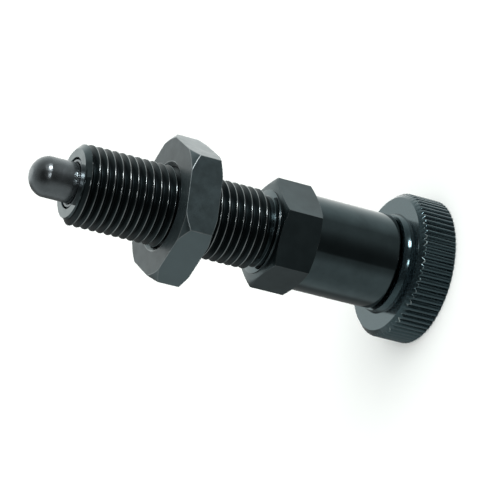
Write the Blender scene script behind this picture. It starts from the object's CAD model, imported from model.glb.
import math

import bmesh
import bpy
from mathutils import Matrix, Vector


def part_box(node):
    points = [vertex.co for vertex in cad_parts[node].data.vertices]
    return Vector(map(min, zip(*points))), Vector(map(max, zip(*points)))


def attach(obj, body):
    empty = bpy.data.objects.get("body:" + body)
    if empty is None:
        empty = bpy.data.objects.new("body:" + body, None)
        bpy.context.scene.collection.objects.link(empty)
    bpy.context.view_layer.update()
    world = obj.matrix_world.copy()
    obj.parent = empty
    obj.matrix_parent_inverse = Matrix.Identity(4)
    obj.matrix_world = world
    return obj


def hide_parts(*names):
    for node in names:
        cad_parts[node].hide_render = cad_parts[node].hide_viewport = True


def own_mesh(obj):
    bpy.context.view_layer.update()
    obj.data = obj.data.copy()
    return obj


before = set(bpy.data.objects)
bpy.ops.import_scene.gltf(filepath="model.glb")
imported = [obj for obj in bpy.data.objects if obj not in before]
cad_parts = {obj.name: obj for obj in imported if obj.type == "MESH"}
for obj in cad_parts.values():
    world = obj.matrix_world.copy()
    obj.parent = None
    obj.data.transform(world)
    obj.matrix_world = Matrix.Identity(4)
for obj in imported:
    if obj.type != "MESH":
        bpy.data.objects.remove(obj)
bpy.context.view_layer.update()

MM = 0.001

# ---------------------------------------------------------------------------
# Sizes read from the frame, and the ones that only the look needs (mm).
# Z runs from the knob's outer face up to the pin's tip.
# ---------------------------------------------------------------------------


def span(node):
    """Lowest and highest corner of a CAD node, in mm."""
    low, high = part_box(node)
    return low / MM, high / MM


knob_high = span("knob")[1]
housing_low, housing_high = span("housing")
nut_low, nut_high = span("lock_nut")
bush_low, bush_high = span("guide_bush")
pin_low, pin_high = span("plunger_pin")
insert_low, insert_high = span("knob_insert")
spring_low, spring_high = span("return_spring")

collar_r = housing_high.y            # half the hexagon's flats
collar_front_r = 5.94                # face circles inside the corner chamfers
collar_back_r = 6.1
collar_slope = math.tan(math.radians(20))
collar_break = 0.06                  # softened edges of collar and shoulder
sleeve_r = collar_r - 0.02
sleeve_end = housing_low.z
nose_face = housing_high.z
shoulder_r = 5.25
shoulder_face = nose_face - 25.1
collar_face = shoulder_face - 0.2
collar_back = collar_face - 5.15

thread_r = 5.0                       # M10 x 1
thread_pitch = 1.0
thread_depth = 0.6134 * thread_pitch
thread_phase = 0.085                 # crest height at X, as a share of the pitch
relief_r = 4.38
relief_corner = 0.2
relief_len = 0.6                     # smooth groove before the thread starts
thread_start = shoulder_face + 0.1
nose_face_r = 4.25
nose_chamfer_len = 0.6
sleeve_edge = 0.35
stem_bore_r = 2.25
bore_edge = 0.3
chamber_r = 3.05
chamber_floor = 20.0
nose_break = 0.15
seam_gap = 0.10                      # between the bush and the barrel's mouth
mouth_depth = 0.5

nut_flat_r = 8.15
nut_face_r = 8.55                    # wider than the flats: only the corners are cut
nut_front_slope = math.tan(math.radians(45))
nut_back_slope = math.tan(math.radians(30))
nut_bore_r = 5.05
nut_sink_r = 5.55
nut_turn = math.radians(18.8)
nut_break = 0.07

knob_r = knob_high.x
knob_len = 4.85
flute_count = 72
flute_depth = 0.26
flute_steps = 10                     # columns across one flute
flute_slope = 0.74                   # share of the half flute that slopes, the rest is the crest
flute_sag = 0.10                     # how far the slope bows out
flute_floor = 0.97
rim_r = 8.5
rim_z = knob_len - 0.7
edge_r = 0.15
hub_base_r = 6.4
hub_r = 6.2
hub_edge = 0.12
flange_r = insert_high.x
flange_top = insert_low.z + 1.2
insert_r = 3.0
hub_top = knob_high.z
dish_r = 6.0
dish_depth = 0.3

pin_r = 2.5
pin_relief_len = 0.8                 # relief groove at the bush's mouth
pin_relief_depth = 0.2
stop_r = 3.0                         # stop collar behind the bush
stop_len = 2.4
stop_edge = 0.2
stem_r = 2.2
stem_end_r = 2.0
nose_start = pin_high.z - 1.85
nose_flat_r = 0.75
nose_bulge = 0.36

wire_r = 0.275
coil_count = 6

columns_round = 144
pin_columns = 96
least_bevel_angle = math.radians(24)


# ---------------------------------------------------------------------------
# Mesh helpers
# ---------------------------------------------------------------------------


def point(r, turn, z):
    return Vector((r * math.cos(turn), r * math.sin(turn), z)) * MM


def skin(bm, columns, rows_per_turn=0):
    """Quads between neighbouring columns; the last meets the first that many rows further on."""
    verts = [[bm.verts.new(p) for p in column] for column in columns]
    count = len(verts)
    for j in range(count):
        here = verts[j]
        there = verts[(j + 1) % count]
        shift = rows_per_turn if j == count - 1 else 0
        for i in range(len(here) - 1 - shift):
            quad = (here[i], there[i + shift], there[i + shift + 1], here[i + 1])
            bm.faces.new(quad)


def weld(bm):
    """Merges what lies on one point, drops what has no area and points the normals out."""
    bmesh.ops.remove_doubles(bm, verts=bm.verts, dist=1e-7)
    bmesh.ops.dissolve_degenerate(bm, edges=bm.edges, dist=1e-7)
    loose = [v for v in bm.verts if not v.link_faces]
    bmesh.ops.delete(bm, geom=loose, context="VERTS")
    bmesh.ops.recalc_face_normals(bm, faces=bm.faces)
    bm.faces.layers.float.new("wear")


def edge_angle(edge):
    return edge.calc_face_angle(0.0) if edge.is_manifold else 0.0


def soften(bm, width, choose, segments=2):
    """Rounds the sharp edges that `choose` accepts, given their middle in mm, as worn."""
    picked = [
        e for e in bm.edges
        if edge_angle(e) > least_bevel_angle
        and choose((e.verts[0].co + e.verts[1].co) / 2 / MM, e)
    ]
    rounded = bmesh.ops.bevel(
        bm,
        geom=picked,
        offset=width * MM,
        offset_type="OFFSET",
        segments=segments,
        profile=0.5,
        affect="EDGES",
        clamp_overlap=True,
    )
    wear = bm.faces.layers.float["wear"]
    for face in rounded["faces"]:
        face[wear] = 1.0


def keep_flat(obj, top):
    """Large faces below height `top` keep their own normals beside the small rounded edges."""
    plain = obj.vertex_groups.new(name="plain")
    plain.add([v.index for v in obj.data.vertices if v.co.z < top * MM], 1.0, "REPLACE")
    weighted = obj.modifiers.new("keep_flat", "WEIGHTED_NORMAL")
    weighted.keep_sharp = True
    weighted.vertex_group = plain.name


def piece(name, bm, body, nodes, finish, flat_below, sharp=32):
    mesh = bpy.data.meshes.new(name)
    bm.to_mesh(mesh)
    bm.free()
    mesh.shade_smooth()
    mesh.set_sharp_from_angle(angle=math.radians(sharp))
    obj = bpy.data.objects.new(name, mesh)
    bpy.context.scene.collection.objects.link(obj)
    mesh.materials.append(finish)
    keep_flat(obj, flat_below)
    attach(obj, body)
    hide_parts(*nodes)
    return obj


def turns(count=columns_round):
    return [2 * math.pi * j / count for j in range(count)]


def lathe(bm, outline, count=columns_round):
    """Turns a list of (radius, height) round the axis."""
    skin(bm, [[point(r, t, z) for r, z in outline] for t in turns(count)])


def arc(centre, radius, start, end, steps):
    """Points of an arc in the (radius, height) plane, angles in degrees."""
    made = []
    for k in range(steps + 1):
        a = math.radians(start + (end - start) * k / steps)
        made.append((centre[0] + radius * math.cos(a), centre[1] + radius * math.sin(a)))
    return made


def hexagon_r(flat_r, turn, phase=0.0):
    """Distance from the axis to a hexagon with a corner at `phase`."""
    local = (turn - phase) % (math.pi / 3) - math.pi / 6
    return flat_r / math.cos(local)


# ---------------------------------------------------------------------------
# Materials
# ---------------------------------------------------------------------------


class Nodes:
    """A short way to write a node tree."""

    def __init__(self, name):
        self.material = bpy.data.materials.new(name)
        self.material.use_nodes = True
        self.tree = self.material.node_tree
        self.tree.nodes.clear()
        self.out = self.add("ShaderNodeOutputMaterial")
        self.shader = self.add("ShaderNodeBsdfPrincipled")
        self.tree.links.new(self.shader.outputs["BSDF"], self.out.inputs["Surface"])
        self.where = self.add("ShaderNodeTexCoord").outputs["Object"]

    def add(self, kind, **values):
        node = self.tree.nodes.new(kind)
        for key, value in values.items():
            setattr(node, key, value)
        return node

    def link(self, source, target):
        self.tree.links.new(source, target)

    def noise(self, scale, detail=4.0, rough=0.55, stretch=(1, 1, 1)):
        mapping = self.add("ShaderNodeMapping")
        mapping.inputs["Scale"].default_value = stretch
        self.link(self.where, mapping.inputs["Vector"])
        node = self.add("ShaderNodeTexNoise")
        node.inputs["Scale"].default_value = scale
        node.inputs["Detail"].default_value = detail
        node.inputs["Roughness"].default_value = rough
        self.link(mapping.outputs["Vector"], node.inputs["Vector"])
        return node.outputs["Fac"]

    def spread(self, value, low, high, start=0.3, end=0.7):
        node = self.add("ShaderNodeMapRange")
        node.inputs["From Min"].default_value = start
        node.inputs["From Max"].default_value = end
        node.inputs["To Min"].default_value = low
        node.inputs["To Max"].default_value = high
        self.link(value, node.inputs["Value"])
        return node.outputs["Result"]

    def wear(self):
        """The faces' own mark: 1 on crests and edges, below 0 in the thread's flanks."""
        node = self.add(
            "ShaderNodeAttribute", attribute_type="GEOMETRY", attribute_name="wear"
        )
        return node.outputs["Fac"]

    def blend(self, factor, first, second):
        node = self.add("ShaderNodeMix", data_type="RGBA")
        for socket, value in (("A", first), ("B", second)):
            target = [s for s in node.inputs if s.name == socket and s.type == "RGBA"][0]
            if isinstance(value, tuple):
                target.default_value = (*value, 1.0)
            else:
                self.link(value, target)
        self.link(factor, node.inputs["Factor"])
        return [s for s in node.outputs if s.type == "RGBA"][0]

    def math(self, operation, a, b=0.0):
        node = self.add("ShaderNodeMath", operation=operation)
        for socket, value in zip(node.inputs, (a, b)):
            if isinstance(value, (int, float)):
                socket.default_value = value
            else:
                self.link(value, socket)
        return node.outputs["Value"]

    def bump(self, height, strength, distance):
        node = self.add("ShaderNodeBump")
        node.inputs["Strength"].default_value = strength
        node.inputs["Distance"].default_value = distance
        self.link(height, node.inputs["Height"])
        self.link(node.outputs["Normal"], self.shader.inputs["Normal"])


oxide_tint = (0.72, 1.0, 1.08)       # black oxide reflects a little blue
worn_tone = (0.44, 0.46, 0.46)       # bare steel on crests and edges
flank_rough = 0.30                   # thread flanks are rougher than what was ground


def oxide(
    name, tone, rough, grain=0.35, turned=0.0, worn=1.0, blotch=0.2, tint=oxide_tint, coat=0.0
):
    """Steel with a black oxide finish: blotches of tone, grain, tool rings and worn edges."""
    n = Nodes(name)
    dark, light = (tuple(c * tone * share for c in tint) for share in (1 - blotch, 1 + blotch))
    finish = n.blend(n.spread(n.noise(260, 5, 0.6), 0, 1), dark, light)
    wear = n.wear()
    shade = n.spread(wear, 0.15, 1.0, -0.7, 0.0)
    finish = n.blend(shade, (0.0, 0.0, 0.0), finish)
    patches = n.spread(n.noise(520, 3), 0.35, 1.0)
    rubbed = n.math("MULTIPLY", n.spread(wear, 0, worn, 0.0, 1.0), patches)
    n.link(n.blend(rubbed, finish, worn_tone), n.shader.inputs["Base Color"])
    n.shader.inputs["Metallic"].default_value = 1.0
    n.shader.inputs["Coat Weight"].default_value = coat
    n.shader.inputs["Coat Roughness"].default_value = 0.3
    matt = n.spread(n.noise(700, 4), rough * 0.85, rough * 1.2)
    matt = n.math("ADD", matt, n.spread(wear, flank_rough, 0.0, -0.2, 0.0))
    n.link(n.math("ADD", matt, n.math("MULTIPLY", rubbed, 0.3)), n.shader.inputs["Roughness"])
    height = n.noise(4200, 3, 0.6)
    if turned:
        rings = n.noise(1800, 2, 0.5, stretch=(0.02, 0.02, 1.0))
        height = n.math("ADD", height, n.math("MULTIPLY", rings, turned))
    n.bump(height, grain, 0.00002)
    return n.material


rubbed_tone = (0.20, 0.23, 0.23)     # plastic scuffed pale on the flutes' ends


def moulded(name, tone, rough):
    """Glossy moulded plastic with a faint flow mottle and scuffed edges."""
    n = Nodes(name)
    flow = n.noise(180, 4, 0.5)
    light = tuple(c * 1.5 for c in tone)
    finish = n.blend(n.spread(flow, 0, 1), tone, light)
    rubbed = n.math("MULTIPLY", n.wear(), n.spread(n.noise(1300, 3), 0.05, 1.0, 0.50, 0.64))
    n.link(n.blend(rubbed, finish, rubbed_tone), n.shader.inputs["Base Color"])
    n.shader.inputs["IOR"].default_value = 1.9
    n.shader.inputs["Specular Tint"].default_value = (0.65, 1.0, 1.1, 1)
    n.link(n.spread(n.noise(900, 3), rough * 0.8, rough * 1.3), n.shader.inputs["Roughness"])
    n.bump(n.noise(2500, 2), 0.05, 0.00002)
    return n.material


housing_finish = oxide("black_oxide_turned", 0.105, 0.08, 0.06, 0.3, worn=0.65)
nut_finish = oxide("black_oxide_milled", 0.16, 0.34, 0.5, worn=0.45, blotch=0.06, coat=0.5)
pin_finish = oxide("black_oxide_ground", 0.215, 0.29, 0.6, 2.5, worn=0.4, tint=(0.88, 1.0, 1.06))
wire_finish = oxide("drawn_wire", 0.36, 0.24, 0.3, blotch=0.1, tint=(0.98, 1.0, 1.02))
brass_finish = oxide("turned_brass", 0.7, 0.22, 0.3, 1.5, blotch=0.06, tint=(1.0, 0.79, 0.36))
knob_finish = moulded("black_plastic", (0.004, 0.007, 0.0085), 0.14)

# ---------------------------------------------------------------------------
# Housing: thread, undercut, shoulder, hexagon collar and sleeve
# ---------------------------------------------------------------------------

# One pitch of the thread: share of the pitch from the crest, depth below the crest.
rows = (
    (-0.500, thread_depth),
    (-0.440, thread_depth * 0.985),
    (-0.400, thread_depth * 0.93),
    (-0.085, 0.035),
    (-0.055, 0.008),
    (-0.020, 0.0),
    (0.020, 0.0),
    (0.055, 0.008),
    (0.085, 0.035),
    (0.400, thread_depth * 0.93),
    (0.440, thread_depth * 0.985),
)


def thread_envelope(z):
    """Largest radius at height z: full thread between the two end chamfers."""
    rise = (thread_r - nose_face_r) / nose_chamfer_len
    run_out = relief_r + max(z - thread_start - relief_len, 0.0)
    return min(thread_r, run_out, nose_face_r + (nose_face - z) * rise)


def thread_columns():
    first = math.floor(thread_start) - 3
    last = math.ceil(nose_face) + 3
    columns = []
    for turn in turns():
        column = []
        for k in range(first, last):
            for offset, depth in rows:
                z = (k + thread_phase + offset + turn / (2 * math.pi)) * thread_pitch
                z = min(max(z, thread_start), nose_face)
                r = min(thread_r - depth, thread_envelope(z))
                column.append(point(r, turn, z))
        columns.append(column)
    return columns


def collar_column(turn):
    """Undercut, shoulder, hexagon with its turned corners, and the sleeve with its rounded end."""
    corner = hexagon_r(collar_r, turn)
    back_r = min(corner, collar_back_r)
    column = [(relief_r, thread_start)]
    corner_centre = (relief_r + relief_corner, shoulder_face + relief_corner)
    column += arc(corner_centre, relief_corner, 180, 270, 4)
    column += [
        (shoulder_r, shoulder_face),
        (shoulder_r, collar_face),
        (collar_front_r, collar_face),
        (corner, collar_face - (corner - collar_front_r) * collar_slope),
        (corner, collar_back + (corner - back_r) * collar_slope),
        (back_r, collar_back),
        (sleeve_r, collar_back),
        (sleeve_r, sleeve_end + sleeve_edge),
        (sleeve_r - sleeve_edge, sleeve_end),
        (stem_bore_r + bore_edge, sleeve_end),
        (stem_bore_r, sleeve_end + bore_edge),
        (stem_bore_r, chamber_floor),
        (chamber_r, chamber_floor),
        (chamber_r, nose_face - mouth_depth - seam_gap),
        (chamber_r + seam_gap, nose_face - mouth_depth),
        (chamber_r + seam_gap, nose_face - nose_break + seam_gap),
        (chamber_r + nose_break, nose_face),
        (nose_face_r, nose_face),
    ]
    return [point(r, turn, z) for r, z in column]


near = 0.01                          # faces this close to a plane lie in it
crest_share = 0.03
outside_bore_r = 4
outside_relief_r = 5.1
chamfer_wear = 0.1
end_face_wear = 0.3
relief_dull = -0.1
collar_dull = -0.16
face_dull = -0.2


def mark_wear(bm):
    """Crests and the end face are worn bright, flanks darken to the root, the collar is dull."""
    wear = bm.faces.layers.float["wear"]
    for face in bm.faces:
        at = face.calc_center_median() / MM
        r = at.xy.length
        if nose_face - 0.55 < at.z < nose_face - near and r > thread_envelope(at.z) - 0.05:
            face[wear] = chamfer_wear
        elif thread_start < at.z < nose_face - near and r > relief_r:
            depth = (thread_r - r) / thread_depth
            face[wear] = 1.0 if depth < crest_share else -min(depth, 1.0)
        elif at.z > nose_face - near:
            face[wear] = end_face_wear
        elif (
            shoulder_face + near < at.z < thread_start + relief_len + 0.1
            and r > outside_bore_r
        ):
            face[wear] = relief_dull
        elif collar_back - near < at.z < shoulder_face + near and r > outside_relief_r:
            face[wear] = collar_dull


def on_collar(at, edge):
    return collar_back - 0.1 < at.z < shoulder_face + near and at.xy.length > outside_relief_r


def on_sleeve_end(at, edge):
    return at.z < sleeve_end + 0.5 and at.xy.length > 5


bm = bmesh.new()
skin(bm, thread_columns(), len(rows))
skin(bm, [collar_column(t) for t in turns()])
weld(bm)
mark_wear(bm)
soften(bm, collar_break, on_collar)
soften(bm, 0.1, on_sleeve_end)
below_thread = shoulder_face + near
piece("housing_turned", bm, "housing", ["housing"], housing_finish, below_thread)

# ---------------------------------------------------------------------------
# Lock nut
# ---------------------------------------------------------------------------


def nut_column(turn):
    corner = hexagon_r(nut_flat_r, turn, nut_turn)
    face_r = min(corner, nut_face_r)
    sink = nut_sink_r - nut_bore_r
    column = [
        (nut_bore_r, nut_low.z + sink),
        (nut_sink_r, nut_low.z),
        (face_r, nut_low.z),
        (corner, nut_low.z + (corner - face_r) * nut_back_slope),
        (corner, nut_high.z - (corner - face_r) * nut_front_slope),
        (face_r, nut_high.z),
        (nut_sink_r, nut_high.z),
        (nut_bore_r, nut_high.z - sink),
        (nut_bore_r, nut_low.z + sink),
    ]
    return [point(r, turn, z) for r, z in column]


bm = bmesh.new()
skin(bm, [nut_column(t + nut_turn) for t in turns()])
weld(bm)
wear = bm.faces.layers.float["wear"]
for face in bm.faces:
    if abs(face.normal.z) > 0.9:
        face[wear] = face_dull
soften(bm, nut_break, lambda at, edge: True)
piece("nut_milled", bm, "nut", ["lock_nut"], nut_finish, nut_high.z + 1)

# ---------------------------------------------------------------------------
# Knob: 72 flutes with soft shoulders, bevelled rim, boss and dish
# ---------------------------------------------------------------------------


def flute_r(share):
    """Radius across one flute, from crest (0) to crest (1)."""
    side = abs(share - 0.5) * 2            # 0 in the groove, 1 on the crest
    slope = min(max((flute_slope - side) / flute_slope, 0.0), 1.0)
    depth = slope - flute_sag * math.sin(math.pi * slope)
    return knob_r - flute_depth * min(max(depth, 0.0), flute_floor)


def knob_column(turn, outer):
    rise = (rim_z - knob_len) / (knob_r - rim_r)
    rim_cut = knob_len + (outer - rim_r) * rise
    edge_cut = max(outer - knob_r + edge_r, 0.0)
    column = [
        (0.0, insert_low.z),
        (flange_r, insert_low.z),
        (flange_r, flange_top),
        (insert_r, flange_top),
        (insert_r, hub_top),
        (hub_r - hub_edge, hub_top),
        (hub_r, hub_top - hub_edge),
        (hub_base_r, knob_len),
        (rim_r, knob_len),
        (outer, rim_cut),
        (outer, edge_cut),
        (min(outer, knob_r - edge_r), 0),
        (dish_r, 0),
        (dish_r - dish_depth, dish_depth),
        (0.0, dish_depth),
    ]
    return [point(r, turn, z) for r, z in column]


def on_rim(at, edge):
    return rim_z - 0.1 < at.z < knob_len and at.xy.length > rim_r + 0.1


bm = bmesh.new()
columns = []
for j in range(flute_count * flute_steps):
    turn = 2 * math.pi * j / (flute_count * flute_steps)
    columns.append(knob_column(turn, flute_r(j / flute_steps % 1)))
skin(bm, columns)
weld(bm)
soften(bm, 0.07, on_rim)
piece("knob_moulded", bm, "plunger", ["knob"], knob_finish, knob_high.z + 1)

# ---------------------------------------------------------------------------
# Pin and bush
# ---------------------------------------------------------------------------


def nose_outline():
    """The bulged nose as an arc from the shank to the small end flat."""
    a = Vector((pin_r, nose_start))
    b = Vector((nose_flat_r, pin_high.z))
    chord = b - a
    half = chord.length / 2
    radius = (half**2 + nose_bulge**2) / (2 * nose_bulge)
    middle = (a + b) / 2
    inward = Vector((-chord.y, chord.x)).normalized()
    centre = middle + inward * (radius - nose_bulge)
    first = math.degrees(math.atan2(a.y - centre.y, a.x - centre.x))
    second = math.degrees(math.atan2(b.y - centre.y, b.x - centre.x))
    return arc(centre, radius, first, second, 14)


relief_top = bush_high.z + 0.05
stop_low = bush_low.z - stop_len
bm = bmesh.new()
outline = [
    (0.0, pin_low.z),
    (stem_end_r - 0.1, pin_low.z),
    (stem_end_r, pin_low.z + 0.1),
    (stem_end_r, hub_top),
    (stem_r, hub_top),
    (stem_r, stop_low),
    (stop_r - stop_edge, stop_low),
    (stop_r, stop_low + stop_edge),
    (stop_r, bush_low.z - stop_edge),
    (stop_r - stop_edge, bush_low.z),
    (pin_r, bush_low.z),
    (pin_r, relief_top - pin_relief_len),
    (pin_r - pin_relief_depth, relief_top - pin_relief_len + pin_relief_depth),
    (pin_r - pin_relief_depth, relief_top),
    (pin_r, relief_top),
]
outline += nose_outline()
outline += [(0.0, pin_high.z)]
lathe(bm, outline, pin_columns)
weld(bm)
soften(bm, 0.05, lambda at, edge: at.z > nose_start - 0.5)
piece("pin_ground", bm, "plunger", ["plunger_pin"], pin_finish, pin_high.z + 1)

# ---------------------------------------------------------------------------
# Spring, and the two solids that are carried over with their own finish
# ---------------------------------------------------------------------------


def coil(bm, steps=36, sides=10):
    """A round wire wound at an even pitch, closed at both ends."""
    middle_r = spring_high.x - wire_r
    rings = []
    for k in range(coil_count * steps + 1):
        turn = 2 * math.pi * k / steps
        rise = (spring_high.z - spring_low.z - 2 * wire_r) * k / (coil_count * steps)
        middle_z = spring_low.z + wire_r + rise
        ring = []
        for side in range(sides):
            a = 2 * math.pi * side / sides
            r = middle_r + wire_r * math.cos(a)
            ring.append(point(r, turn, middle_z + wire_r * math.sin(a)))
        rings.append([bm.verts.new(p) for p in ring])
    for here, there in zip(rings, rings[1:]):
        for i in range(sides):
            j = (i + 1) % sides
            bm.faces.new((here[i], there[i], there[j], here[j]))
    bm.faces.new(rings[0])
    bm.faces.new(rings[-1])


bm = bmesh.new()
coil(bm)
weld(bm)
spring = piece(
    "spring_wound", bm, "spring", ["return_spring"], wire_finish, spring_high.z + 1
)
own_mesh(spring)

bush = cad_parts["guide_bush"]
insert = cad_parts["knob_insert"]
for node, finish, slot in (
    (bush, pin_finish, "bush"),
    (insert, brass_finish, "insert"),
):
    node.data.materials.clear()
    node.data.materials.append(finish)

# ---------------------------------------------------------------------------
# Floor, light and camera
# ---------------------------------------------------------------------------

floor_mesh = bpy.data.meshes.new("floor")
reach = 2.0
floor_mesh.from_pydata(
    [(-reach, -reach, 0), (reach, -reach, 0), (reach, reach, 0), (-reach, reach, 0)],
    [],
    [(0, 1, 2, 3)],
)
floor = bpy.data.objects.new("floor", floor_mesh)
bpy.context.scene.collection.objects.link(floor)
n = Nodes("pale_floor")
n.link(n.blend(n.noise(8), (0.88, 0.90, 0.89), (0.91, 0.92, 0.92)), n.shader.inputs["Base Color"])
n.shader.inputs["Roughness"].default_value = 1.0
n.shader.inputs["Specular IOR Level"].default_value = 0.0
n.shader.inputs["Emission Color"].default_value = (1.0, 1.0, 1.0, 1)
n.shader.inputs["Emission Strength"].default_value = 0.05
floor_mesh.materials.append(n.material)
floor.visible_glossy = False

camera_data = bpy.data.cameras.new("camera")
camera = bpy.data.objects.new("camera", camera_data)
bpy.context.scene.collection.objects.link(camera)
bpy.context.scene.camera = camera

camera_lens = 210.0                  # long lens: the view spans 9.8 degrees
camera_azimuth = math.radians(0.862)
camera_elevation = math.radians(22.447)
camera_roll = math.radians(-75.737)
camera_distance = 341.27
camera_aim = Vector((-1.633, -0.025, 24.683))

back = Vector((
    math.sin(camera_azimuth) * math.cos(camera_elevation),
    -math.cos(camera_azimuth) * math.cos(camera_elevation),
    math.sin(camera_elevation),
))
level_right = Vector((0, 0, 1)).cross(back).normalized()
level_up = back.cross(level_right)
turned = Matrix((level_right, level_up, back)).transposed()
turned = turned @ Matrix.Rotation(camera_roll, 3, "Z")
camera_data.lens = camera_lens
camera_data.sensor_width = 36
camera_data.clip_start = 0.01
camera_data.clip_end = 20
stand = (camera_aim + back * camera_distance) * MM
camera.matrix_world = Matrix.Translation(stand) @ turned.to_4x4()
picture_up = turned.col[1].copy()
picture_right = turned.col[0].copy()

# ---------------------------------------------------------------------------
# Studio: a soft tent, pale behind and darker towards the camera, over a pale table,
# with a square lamp above and a small lamp by the camera. Directions are the picture's.
# ---------------------------------------------------------------------------

world = bpy.data.worlds.new("studio")
bpy.context.scene.world = world
world.use_nodes = True
world.cycles.sampling_method = "NONE"
tree = world.node_tree
tree.nodes.clear()


def wnode(kind, **values):
    node = tree.nodes.new(kind)
    for key, value in values.items():
        setattr(node, key, value)
    return node


def wdot(vector):
    node = wnode("ShaderNodeVectorMath", operation="DOT_PRODUCT")
    tree.links.new(ray, node.inputs[0])
    node.inputs[1].default_value = vector
    return node.outputs["Value"]


def wmath(operation, *values):
    node = wnode("ShaderNodeMath", operation=operation)
    for socket, value in zip(node.inputs, values):
        if isinstance(value, (int, float)):
            socket.default_value = value
        else:
            tree.links.new(value, socket)
    return node.outputs["Value"]


def wsum(*values):
    total = values[0]
    for value in values[1:]:
        total = wmath("ADD", total, value)
    return total


def wrange(value, start, end, low, high):
    """Smooth step from low to high; start may lie above end."""
    node = wnode("ShaderNodeMapRange", interpolation_type="SMOOTHSTEP")
    tree.links.new(value, node.inputs["Value"])
    if start > end:
        start, end, low, high = end, start, high, low
    node.inputs["From Min"].default_value = start
    node.inputs["From Max"].default_value = end
    node.inputs["To Min"].default_value = low
    node.inputs["To Max"].default_value = high
    return node.outputs["Result"]


def wmix(factor, first, second):
    node = wnode("ShaderNodeMix", data_type="FLOAT")
    sockets = (node.inputs["Factor"], node.inputs[2], node.inputs[3])
    for socket, value in zip(sockets, (factor, first, second)):
        if isinstance(value, (int, float)):
            socket.default_value = value
        else:
            tree.links.new(value, socket)
    return node.outputs[0]


ray = wnode("ShaderNodeTexCoord").outputs["Generated"]
towards = wdot(back)
above = wdot(picture_up)
path = wnode("ShaderNodeLightPath")

brightest = 1.17                     # the tent behind the object
falling = wmath("MINIMUM", wmath("MULTIPLY_ADD", towards, -1.05, 0.41), brightest)
tent = wmath("MAXIMUM", falling, wrange(towards, 0.36, 0.72, 0.26, 0.05))
table_dip = wrange(above, -0.80, -0.40, 0.0, -0.25)
table_near = wmath("MULTIPLY", table_dip, wrange(towards, 0.3, 0.6, 0.0, 1.0))
table_far = wsum(wrange(towards, 0.0, -0.34, 0.0, 0.09), wrange(towards, -0.40, -0.66, 0.0, -0.33))
table = wsum(table_near, table_far, 0.44)
edge = wmath("MULTIPLY_ADD", towards, 0.19, above)
mirrored = wmix(wrange(edge, -0.18, -0.28, 0.0, 1.0), tent, table)
overhead = wdot(picture_right * -0.72 + picture_up * 0.424 + back * 0.548)
lit = wmath("MULTIPLY_ADD", wmath("POWER", wmath("MAXIMUM", overhead, 0.0), 6.0), 3.7, 0.36)
shown = wmix(path.outputs["Is Diffuse Ray"], mirrored, lit)
shown = wmix(path.outputs["Is Camera Ray"], shown, 1.0)
backdrop = wnode("ShaderNodeBackground")
backdrop.inputs["Color"].default_value = (0.98, 1.0, 0.98, 1)
tree.links.new(shown, backdrop.inputs["Strength"])
tree.links.new(backdrop.outputs["Background"], wnode("ShaderNodeOutputWorld").inputs["Surface"])


def lamp(name, right, up, towards_camera, width, power):
    """A square lamp one metre from the aim that only shows in reflections."""
    data = bpy.data.lights.new(name, "AREA")
    data.shape = "SQUARE"
    data.size = width
    data.energy = power
    made = bpy.data.objects.new(name, data)
    bpy.context.scene.collection.objects.link(made)
    away = (picture_right * right + picture_up * up + back * towards_camera).normalized()
    facing = away.to_track_quat("Z", "Y").to_matrix().to_4x4()
    made.matrix_world = Matrix.Translation(camera_aim * MM + away) @ facing
    made.visible_diffuse = False
    made.visible_camera = False


lamp("upper_lamp", 0.17, 0.785, 0.59, 0.20, 5.2)
lamp("camera_lamp", 0.14, 0.20, 0.97, 0.16, 1.1)

bpy.context.scene.view_settings.view_transform = "Standard"
bpy.context.scene.view_settings.look = "None"
